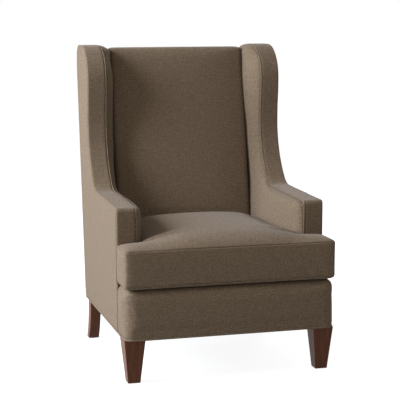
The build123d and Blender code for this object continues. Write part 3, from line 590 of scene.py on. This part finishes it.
def mirrored(piece, name):
    """Mirror image of a piece across the chair's middle."""
    form = bmesh.new()
    form.from_mesh(piece.data)
    bmesh.ops.scale(form, vec=(-1, 1, 1), verts=form.verts)
    bmesh.ops.recalc_face_normals(form, faces=form.faces)
    return piece_from(form, name)


arm_low, arm_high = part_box("inside_arm_cover_right")


def arm_room(point):
    """Room for an arm pad to swell: little beside the cushion, more above it."""
    above = (point.z - cushion_top) / ARM_RAMP
    return ARM_SWELL * min(max(above, ARM_LEAST), 1.0)


inside_arm_right = soft_form("inside_arm_right", "inside_arm_cover_right", "arm_pad_right")
wad(inside_arm_right, ARM_VOXEL, ARM_PASSES)
welt_points = [vertex.co.copy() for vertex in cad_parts["wing_welt_right"].data.vertices]
arm_top = max(point.z for point in welt_points if point.y < arm_low.y + ARM_FRONT_RUN)
pad_belly = arm_high.x - arm_low.x - PAD_LIP


def seam_of_pad(along_tops):
    """Nearest-point search, seen from the side, along the pad's seam: its fronts or its tops."""
    seam_form = bmesh.new()
    seam_form.from_mesh(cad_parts["wing_welt_right"].data)
    bmesh.ops.scale(seam_form, verts=seam_form.verts, vec=(0, 1, 1))
    others = []
    for face in seam_form.faces:
        middle = face.calc_center_median()
        on_front = middle.y < arm_low.y + ARM_FRONT_RUN
        on_wing = arm_top + SWEEP_FOOT < middle.z < arm_high.z - WING_TOP_DROP
        if (on_front or on_wing) == along_tops:
            others.append(face)
    bmesh.ops.delete(seam_form, geom=others, context="FACES")
    search = BVHTree.FromBMesh(seam_form)
    seam_form.free()
    return search


def rise(distance, run):
    """Fullness of a rolled edge, 0 at its seam and 1 at the end of its run."""
    return 1 - (1 - share(distance / run)) ** 2


front_seam = seam_of_pad(False)
top_seam = seam_of_pad(True)
arm_form = bmesh.new()
arm_form.from_mesh(inside_arm_right.data)
for vertex in arm_form.verts:
    side_place = (0, vertex.co.y, vertex.co.z)
    from_front = front_seam.find_nearest(side_place)[3]
    from_top = top_seam.find_nearest(side_place)[3]
    up = share((vertex.co.z - arm_top) / SWEEP_RISE)
    lip_run = ARM_LIP_RUN + up * (WING_RUN - ARM_LIP_RUN)
    belly_run = ARM_BELLY_RUN + up * (WING_RUN - ARM_BELLY_RUN)
    front_depth = PAD_LIP * sqrt(rise(from_front, lip_run)) + pad_belly * rise(from_front, belly_run)
    top_depth = TOP_EDGE + (pad_belly + PAD_LIP) * rise(from_top, TOP_RUN)
    vertex.co.x = max(vertex.co.x, arm_high.x - min(front_depth, top_depth))
    near_top = share(1 - (arm_high.z - vertex.co.z) / WING_TOP_DROP)
    vertex.co.z += WING_TOP_LIFT * near_top * share((vertex.co.x - arm_low.x) / pad_belly)
arm_form.to_mesh(inside_arm_right.data)
arm_form.free()
wad(inside_arm_right, ARM_VOXEL, ARM_PASSES)
swell(inside_arm_right, ARM_PRESSURE, lambda point: (point.x - arm_low.x) / ARM_ROLL, arm_room)
inside_arm_left = mirrored(inside_arm_right, "inside_arm_left")
for side, inside_arm in (("left", inside_arm_left), ("right", inside_arm_right)):
    refine(inside_arm)
    cover(inside_arm, cover_cloth, "cover_cloth", "inside_arm_cover_" + side, "arm_pad_" + side)

# Facing bands: a wadded band of cover cloth along the arm front, the arm top and the wing, with
# a sewn edge at the inner pad.
TIGHT_DEPTH = 8
TIGHT_PASSES = 2
FACING_LAP = 0.0095
FACING_PLUMP = 0.001


def pull_tight(piece):
    """Even mesh over a form that keeps its edges, as cloth pulled over board does."""
    remesh = piece.modifiers.new("tight_cloth", "REMESH")
    remesh.mode = "SHARP"
    remesh.octree_depth = TIGHT_DEPTH
    take_modifiers(piece)
    even_out(piece, TIGHT_PASSES)


def plump(piece, amount, foot=0.0, all_round=False):
    """Lifts a piece's front and top, or all of it, above its foot by a little, or sets them back."""
    form = bmesh.new()
    form.from_mesh(piece.data)
    lifts = []
    for vertex in form.verts:
        lift = vertex.normal.copy()
        if not all_round:
            lift = Vector((0, min(lift.y, 0), max(lift.z, 0)))
        lifts.append(lift if vertex.co.z > foot else Vector())
    for vertex, lift in zip(form.verts, lifts):
        vertex.co += lift * amount
    form.to_mesh(piece.data)
    form.free()


facing_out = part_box("facing_right")[1].x
for side in ("left", "right"):
    facing_band = soft_form("facing_band_" + side, "facing_" + side)
    for vertex in facing_band.data.vertices:
        if abs(vertex.co.x) > facing_out - ON_EDGE:
            vertex.co.x += copysign(FACING_LAP, vertex.co.x)
    pull_tight(facing_band)
    plump(facing_band, FACING_PLUMP)
    cover(facing_band, cover_cloth, "cover_cloth", "facing_" + side)

# Outside arms: a flat panel on each side, cloth over thin wadding and card, blind-tacked along
# the facing and the outside back.
PANEL_SETBACK = 0.007
PANEL_TUCK = 0.002

facing_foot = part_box("facing_right")[0].z
for side in ("left", "right"):
    outside_arm = soft_form("outside_arm_" + side, "outside_arm_panel_" + side)
    tuck_under(outside_arm, PANEL_TUCK)
    pull_tight(outside_arm)
    plump(outside_arm, -PANEL_SETBACK, foot=facing_foot)
    cover(outside_arm, cover_cloth, "cover_cloth", "outside_arm_panel_" + side)

# Outside back: the last panel to go on, cloth over thin wadding, blind-tacked under the roll of
# the inside back.
OUTSIDE_BACK_VOXEL = 0.005
OUTSIDE_BACK_PASSES = 3

outside_back = soft_form("outside_back", "outside_back_panel")
tuck_under(outside_back, PANEL_TUCK)
wad(outside_back, OUTSIDE_BACK_VOXEL, OUTSIDE_BACK_PASSES)
cover(outside_back, cover_cloth, "cover_cloth", "outside_back_panel")

# Welts: cord in bias-cut cover cloth, sewn into the seam of each facing and tacked round the
# lower edge of the chair.
for welt in ("wing_welt_left", "wing_welt_right", "base_welt"):
    cord_piece = soft_form("sewn_" + welt, welt)
    for polygon in cord_piece.data.polygons:
        polygon.use_smooth = True
    plump(cord_piece, FACING_PLUMP, all_round=welt == "base_welt")
    cover(cord_piece, cover_cloth, "cover_cloth", welt)

# Dust cover: black non-woven cloth stapled under the seat frame, cut round the legs. It sags
# slightly between the rails.
DUST_SAG = 0.008
DUST_CUTS = 24


def whole(form):
    """Everything in a bmesh."""
    return form.verts[:] + form.edges[:] + form.faces[:]


dust_low, dust_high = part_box("dust_cover")
dust_cover = soft_form("dust_sheet", "dust_cover")
dust_form = bmesh.new()
dust_form.from_mesh(dust_cover.data)
for cut in range(1, DUST_CUTS):
    for normal in (Vector((1, 0, 0)), Vector((0, 1, 0))):
        bmesh.ops.bisect_plane(
            dust_form, geom=whole(dust_form), plane_no=normal,
            plane_co=dust_low.lerp(dust_high, cut / DUST_CUTS),
        )
dust_size = dust_high - dust_low
for vertex in dust_form.verts:
    across_share = (vertex.co.x - dust_low.x) / dust_size.x
    along_share = (vertex.co.y - dust_low.y) / dust_size.y
    vertex.co.z -= DUST_SAG * sin(pi * across_share) * sin(pi * along_share)
dust_form.to_mesh(dust_cover.data)
dust_form.free()
cover(dust_cover, decking, "black_cloth", "dust_cover")

# Seat cushion: a loose T-shaped cushion, foam in a cover of top, boxing and bottom panels. The
# seams hold their line, the top panel domes, and the boxing swells between its seams.
CUSHION_CELL = 0.012
REAR_LEAN = radians(11.5)
BODY_GAP = 0.003
EAR_GAP = 0.002
FRONT_CORNER = 0.014
EAR_CORNER = 0.004
NOTCH_CORNER = 0.010
REAR_CORNER = 0.020
CORNER_STEPS = 3
FRONT_DRAW = 0.004
EDGE_ROLL = 0.010
EDGE_RUN = 0.012
FOOT_RUN = 0.003
FRONT_ROLL = 0.012
FRONT_RUN = 0.030
ROLL_EASE = 0.110
CROWN = 0.031
CROWN_RUN = 0.240
CROWN_LIFT = 0.00008
CROWN_PASSES = 500
CROWN_SMOOTHING = 0.9
SEAM_ANGLE = radians(45)
SEAM_LIP = 0.0050
SEAM_NECK = 0.0010
SEAM_DEPTH = 0.0065
NECK_DEPTH = 0.0012
ON_SEAM = 1e-5
CUSHION_PRESSURE = 3.0
TOP_SWELL = 0.003
FRONT_SWELL = 0.006
SIDE_SWELL = 0.001
ZIP_SLOT = 0.0022
SLOT_WALL = 0.0015
FACES_BACK = 0.5

boxing_low, boxing_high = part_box("cushion_boxing")
cushion_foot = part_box("cushion_bottom_panel")[0].z
low_seam = boxing_low.z
high_seam = boxing_high.z
ear_half = boxing_high.x
ear_front = boxing_low.y
ear_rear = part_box("facing_right")[0].y - EAR_GAP
body_half = arm_low.x - BODY_GAP
body_rear = boxing_high.y - tan(REAR_LEAN) * (high_seam - low_seam)

cushion_form = bmesh.new()
t_shape = [
    (-ear_half, ear_front), (ear_half, ear_front), (ear_half, ear_rear), (body_half, ear_rear),
    (body_half, body_rear), (-body_half, body_rear), (-body_half, ear_rear), (-ear_half, ear_rear),
]
t_face = cushion_form.faces.new([cushion_form.verts.new((x, y, low_seam)) for x, y in t_shape])
raised = bmesh.ops.extrude_face_region(cushion_form, geom=[t_face], use_keep_orig=True)["geom"]
raised_points = [part for part in raised if isinstance(part, bmesh.types.BMVert)]
bmesh.ops.translate(cushion_form, verts=raised_points, vec=(0, 0, high_seam - low_seam))
bmesh.ops.recalc_face_normals(cushion_form, faces=cushion_form.faces)
for corner_x, corner_y, radius in (
    (ear_half, ear_front, FRONT_CORNER), (ear_half, ear_rear, EAR_CORNER),
    (body_half, ear_rear, NOTCH_CORNER), (body_half, body_rear, REAR_CORNER),
):
    upright = [
        edge for edge in cushion_form.edges
        if all(abs(abs(v.co.x) - corner_x) + abs(v.co.y - corner_y) < TINY for v in edge.verts)
        and edge.verts[0].co.z != edge.verts[1].co.z
    ]
    bmesh.ops.bevel(
        cushion_form, geom=upright, offset=radius, segments=CORNER_STEPS, profile=0.5,
        affect="EDGES", material=-1,
    )
across_lines = [
    body_half - REAR_CORNER, body_half, body_half + NOTCH_CORNER,
    ear_half - FRONT_CORNER, ear_half - EAR_CORNER, ear_half,
]
cell_lines = (
    (Vector((1, 0, 0)), [-line for line in reversed(across_lines)] + across_lines),
    (Vector((0, 1, 0)), [
        ear_front, ear_front + EAR_CORNER, ear_front + FRONT_CORNER, ear_rear - EAR_CORNER,
        ear_rear + NOTCH_CORNER, body_rear - REAR_CORNER, body_rear,
    ]),
    (Vector((0, 0, 1)), [low_seam, high_seam]),
)
for axis, lines in cell_lines:
    for start, end in zip(lines, lines[1:]):
        cells = max(round((end - start) / CUSHION_CELL), 1)
        for cut in range(cells):
            bmesh.ops.bisect_plane(
                cushion_form, geom=whole(cushion_form), dist=ON_SEAM, plane_no=axis,
                plane_co=axis * (start + (end - start) * cut / cells),
            )

crease = cushion_form.edges.layers.float.new("crease_edge")
seam_edges = [
    edge for edge in cushion_form.edges
    if edge.calc_face_angle(0.0) > SEAM_ANGLE
    and abs(edge.verts[0].co.z - edge.verts[1].co.z) < ON_SEAM
]
for edge in seam_edges:
    edge[crease] = 1.0
seam_points = {vertex for edge in seam_edges for vertex in edge.verts}
seam_line = KDTree(len(seam_points))
for vertex in seam_points:
    seam_line.insert((vertex.co.x, vertex.co.y, 0), vertex.index)
seam_line.balance()
inwards = [seam_line.find((vertex.co.x, vertex.co.y, 0))[2] for vertex in cushion_form.verts]
top_points = []
for vertex, reach in zip(cushion_form.verts, inwards):
    if abs(vertex.co.z - high_seam) < ON_SEAM and vertex not in seam_points:
        vertex.co.z += CROWN * rise(reach, CROWN_RUN)
        top_points.append(vertex)
for _ in range(CROWN_PASSES):
    bmesh.ops.smooth_vert(cushion_form, verts=top_points, factor=CROWN_SMOOTHING, use_axis_z=True)
    bmesh.ops.translate(cushion_form, verts=top_points, vec=(0, 0, CROWN_LIFT))
crown_share = CROWN / (max(vertex.co.z for vertex in top_points) - high_seam)
for vertex, reach in zip(cushion_form.verts, inwards):
    roll = 1 - exp(-reach / EDGE_RUN)
    lean = tan(REAR_LEAN) * (min(vertex.co.z, high_seam) - low_seam)
    if vertex.co.z > high_seam + ON_SEAM:
        inner = min(body_half - abs(vertex.co.x), body_rear - vertex.co.y)
        front_roll = share(inner / ROLL_EASE) * (1 - exp((ear_front - vertex.co.y) / FRONT_RUN))
        vertex.co.z = high_seam + (vertex.co.z - high_seam) * crown_share
        vertex.co.z += EDGE_ROLL * roll + FRONT_ROLL * front_roll
    elif abs(vertex.co.z - low_seam) < ON_SEAM:
        vertex.co.z -= (low_seam - cushion_foot) * (1 - exp(-reach / FOOT_RUN))
    if vertex.co.y > ear_rear - NOTCH_CORNER and abs(vertex.co.x) < body_half + NOTCH_CORNER:
        behind = max(vertex.co.y - ear_rear, 0.0)
        pad_depth = PAD_LIP * rise(behind, ARM_LIP_RUN) + pad_belly * rise(behind, ARM_BELLY_RUN)
        vertex.co.x *= (arm_high.x - BODY_GAP - pad_depth) / body_half
    middle = 1 - (vertex.co.x / ear_half) ** 2
    vertex.co.y += FRONT_DRAW * middle * share((ear_rear - vertex.co.y) / (ear_rear - ear_front))
    vertex.co.y += lean * share((vertex.co.y - ear_rear) / (body_rear - ear_rear))
for face in cushion_form.faces:
    face.smooth = True
cushion = piece_from(cushion_form, "seat_cushion")


def seam_hold(point):
    """The cushion's seams hold their line, and its underside stays flat."""
    on_high_seam = abs(point.z - high_seam) < ON_SEAM
    return 1.0 if point.z < low_seam + ON_SEAM or on_high_seam else 0.0


def cushion_room(point):
    """Room for the cushion to swell: most in front, some on top, little beside the arms."""
    if point.z > high_seam:
        return TOP_SWELL
    return FRONT_SWELL if point.y < ear_rear - EAR_CORNER else SIDE_SWELL


swell(cushion, CUSHION_PRESSURE, seam_hold, cushion_room)
refine(cushion)
take_modifiers(cushion)

zip_low, zip_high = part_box("cushion_zip")
sewn_form = bmesh.new()
sewn_form.from_mesh(cushion.data)
seam_cuts = [
    seam + offset
    for seam in (low_seam, high_seam)
    for offset in (-SEAM_LIP, -SEAM_NECK, SEAM_NECK, SEAM_LIP)
]
slot_cuts = [zip_low.z, zip_low.z - SLOT_WALL, zip_high.z, zip_high.z + SLOT_WALL]
for cut_height in seam_cuts + slot_cuts:
    bmesh.ops.bisect_plane(
        sewn_form, geom=whole(sewn_form), plane_co=(0, 0, cut_height), plane_no=(0, 0, 1)
    )
sewn_form.normal_update()
sewn_in = []
for vertex in sewn_form.verts:
    from_seam = min(abs(vertex.co.z - low_seam), abs(vertex.co.z - high_seam))
    if from_seam < SEAM_NECK + ON_SEAM:
        depth = SEAM_DEPTH if from_seam < ON_SEAM else NECK_DEPTH
        sewn_in.append((vertex, vertex.normal * depth))
    in_slot = zip_low.z - ON_SEAM < vertex.co.z < zip_high.z + ON_SEAM and abs(vertex.co.x) < zip_high.x
    if in_slot and vertex.normal.y > FACES_BACK and vertex.co.y > 0:
        sewn_in.append((vertex, Vector((0, ZIP_SLOT, 0))))
for vertex, push in sewn_in:
    vertex.co -= push
sewn_form.to_mesh(cushion.data)
sewn_form.free()

cushion.data.materials.clear()
cushion.data.materials.append(cover_cloth)
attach(cushion, "cushion")
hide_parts("cushion_core", "cushion_top_panel", "cushion_boxing", "cushion_bottom_panel")

# Cushion zip: woven tape with a nylon coil, sewn into a slot across the back of the boxing, and
# a cast brass slider that runs along it.
TAPE_PALE = (0.20, 0.15, 0.11, 1)
TAPE_DARK = (0.09, 0.065, 0.045, 1)
TAPE_PITCH = 0.0008
TAPE_CONTRAST = 1.5
TAPE_BUMP = 0.5
TAPE_THICKNESS = 0.0008
TAPE_INSET = 0.0020
TAPE_CELLS = (90, 8)
STITCH_RISE = 0.0003
TOOTH_PITCH = 0.003
TOOTH_SIZE = Vector((0.0012, 0.0010, 0.0026))
TOOTH_SHIFT = 0.0006
TEETH_LEFT_OFF = 2
BRASS_PALE = (0.50, 0.38, 0.18, 1)
BRASS_DARK = (0.30, 0.21, 0.09, 1)
BRASS_FLECK = (400, 400, 400)
BRASS_ROUGHNESS = 0.35

zip_form = bmesh.new()
zip_mid = (zip_low + zip_high) / 2
zip_half = (zip_high.x - zip_low.x) / 2
tape_half = (zip_high.z - zip_low.z) / cos(REAR_LEAN) / 2
bmesh.ops.create_grid(zip_form, x_segments=TAPE_CELLS[0], y_segments=TAPE_CELLS[1], size=1.0)
bmesh.ops.scale(zip_form, verts=zip_form.verts, vec=(zip_half, tape_half, 1))
stand_up = Matrix.Rotation(pi / 2, 3, "X")
bmesh.ops.rotate(zip_form, verts=zip_form.verts, cent=(0, 0, 0), matrix=stand_up)
for vertex in zip_form.verts:
    row = round((vertex.co.z / tape_half + 1) * TAPE_CELLS[1] / 2)
    column = round((vertex.co.x / zip_half + 1) * TAPE_CELLS[0] / 2)
    if row in (1, TAPE_CELLS[1] - 1) and column % 2:
        vertex.co.y += STITCH_RISE
bmesh.ops.recalc_face_normals(zip_form, faces=zip_form.faces)
bmesh.ops.solidify(zip_form, geom=zip_form.faces[:], thickness=TAPE_THICKNESS)
teeth = int(2 * zip_half / TOOTH_PITCH) - TEETH_LEFT_OFF
for tooth in range(teeth):
    tooth_place = Vector((
        (tooth - (teeth - 1) / 2) * TOOTH_PITCH,
        TOOTH_SIZE.y,
        TOOTH_SHIFT if tooth % 2 else -TOOTH_SHIFT,
    ))
    bmesh.ops.create_icosphere(
        zip_form, subdivisions=1, radius=1.0,
        matrix=Matrix.Translation(tooth_place) @ Matrix.Diagonal(TOOTH_SIZE.to_4d()),
    )
lean_back = Matrix.Rotation(-REAR_LEAN, 3, "X")
bmesh.ops.rotate(zip_form, verts=zip_form.verts, cent=(0, 0, 0), matrix=lean_back)
zip_rear = body_rear + tan(REAR_LEAN) * (zip_mid.z - low_seam)
bmesh.ops.translate(zip_form, verts=zip_form.verts, vec=(zip_mid.x, zip_rear - TAPE_INSET, zip_mid.z))
bmesh.ops.recalc_face_normals(zip_form, faces=zip_form.faces)
sewn_zip = piece_from(zip_form, "sewn_zip")
zip_tape = cloth_finish("zip_tape", TAPE_PALE, TAPE_DARK, TAPE_PITCH, TAPE_CONTRAST, TAPE_BUMP)
sewn_zip.data.materials.append(zip_tape)
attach(sewn_zip, "cushion")
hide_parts("cushion_zip")
dress("zip_slider", streaked_finish("zip_brass", BRASS_FLECK, BRASS_PALE, BRASS_DARK, BRASS_ROUGHNESS, 1.0))

# Studio: a plain pale floor that runs on out of sight, one broad lamp from the left and weak ones
# in front and behind, soft light all round, and the camera where the photographer stood.
WHITE = (1, 1, 1, 1)
FLOOR_HALF = 30.0
FLOOR_WHITE = (0.35, 0.35, 0.35, 1)
FLOOR_LIFT = 0.905
SKY = (1.0, 0.95, 0.88, 1)
SKY_STRENGTH = 0.35
LAMP_TINT = (0.94, 1.05, 1.21)
LAMP_SIZE = 2.4
LAMP_AIM = Vector((0, 0, 0.55))
LAMPS = {
    "left_lamp": (295.0, Vector((-3.80, -0.22, 2.30))),
    "front_lamp": (12.0, Vector((-1.00, -5.20, 2.60))),
    "rear_lamp": (70.0, Vector((2.90, 3.30, 2.20))),
}
CAMERA_PLACE = Vector((-1.2808, -4.5886, 1.2976))
CAMERA_TURN = radians(-15.62)
CAMERA_LIFT = radians(8.67)
CAMERA_LENS = 115.5
CAMERA_SENSOR = 36.0


def seen_as_white(tree):
    """1 where the camera looks at a backdrop straight, in a reflection or through glass, else 0."""
    path = tree.nodes.new("ShaderNodeLightPath").outputs
    mirrored_too = math_node(tree, "MAXIMUM", path["Is Camera Ray"], path["Is Glossy Ray"])
    return math_node(tree, "MAXIMUM", mirrored_too, path["Is Transmission Ray"])


floor_form = bmesh.new()
bmesh.ops.create_grid(floor_form, x_segments=1, y_segments=1, size=FLOOR_HALF)
floor = piece_from(floor_form, "floor")
floor_white = bpy.data.materials.new("floor_white")
floor_white.use_nodes = True
floor_tree = floor_white.node_tree
floor_shader = floor_tree.nodes["Principled BSDF"]
floor_shader.inputs["Base Color"].default_value = FLOOR_WHITE
floor_shader.inputs["Roughness"].default_value = 1.0
floor_shader.inputs["Specular IOR Level"].default_value = 0.0
floor_shader.inputs["Emission Color"].default_value = WHITE
floor_glow = math_node(floor_tree, "MULTIPLY", seen_as_white(floor_tree), FLOOR_LIFT)
floor_tree.links.new(floor_glow, floor_shader.inputs["Emission Strength"])
floor.data.materials.append(floor_white)

world = bpy.data.worlds.new("studio")
bpy.context.scene.world = world
world.use_nodes = True
sky_tree = world.node_tree
sky = sky_tree.nodes["Background"]
sky.inputs["Color"].default_value = SKY
sky.inputs["Strength"].default_value = SKY_STRENGTH
backdrop = sky_tree.nodes.new("ShaderNodeBackground")
backdrop.inputs["Color"].default_value = WHITE
choice = sky_tree.nodes.new("ShaderNodeMixShader")
sky_tree.links.new(seen_as_white(sky_tree), choice.inputs["Fac"])
sky_tree.links.new(sky.outputs[0], choice.inputs[1])
sky_tree.links.new(backdrop.outputs[0], choice.inputs[2])
sky_tree.links.new(choice.outputs[0], sky_tree.nodes["World Output"].inputs["Surface"])

for lamp_name, (lamp_power, lamp_place) in LAMPS.items():
    lamp_data = bpy.data.lights.new(lamp_name, "AREA")
    lamp_data.energy = lamp_power
    lamp_data.color = LAMP_TINT
    lamp_data.shape = "DISK"
    lamp_data.size = LAMP_SIZE
    lamp = bpy.data.objects.new(lamp_name, lamp_data)
    lamp.location = lamp_place
    lamp.rotation_mode = "QUATERNION"
    lamp.rotation_quaternion = (LAMP_AIM - lamp_place).to_track_quat("-Z", "Y")
    lamp.visible_camera = False
    bpy.context.scene.collection.objects.link(lamp)

camera_data = bpy.data.cameras.new("photo_camera")
camera_data.lens = CAMERA_LENS
camera_data.sensor_width = CAMERA_SENSOR
camera = bpy.data.objects.new("photo_camera", camera_data)
camera_back = Vector(
    (sin(CAMERA_TURN) * cos(CAMERA_LIFT), -cos(CAMERA_TURN) * cos(CAMERA_LIFT), sin(CAMERA_LIFT))
)
camera.location = CAMERA_PLACE
camera.rotation_mode = "QUATERNION"
camera.rotation_quaternion = (-camera_back).to_track_quat("-Z", "Y")
bpy.context.scene.collection.objects.link(camera)
bpy.context.scene.camera = camera
bpy.context.scene.view_settings.view_transform = "Standard"
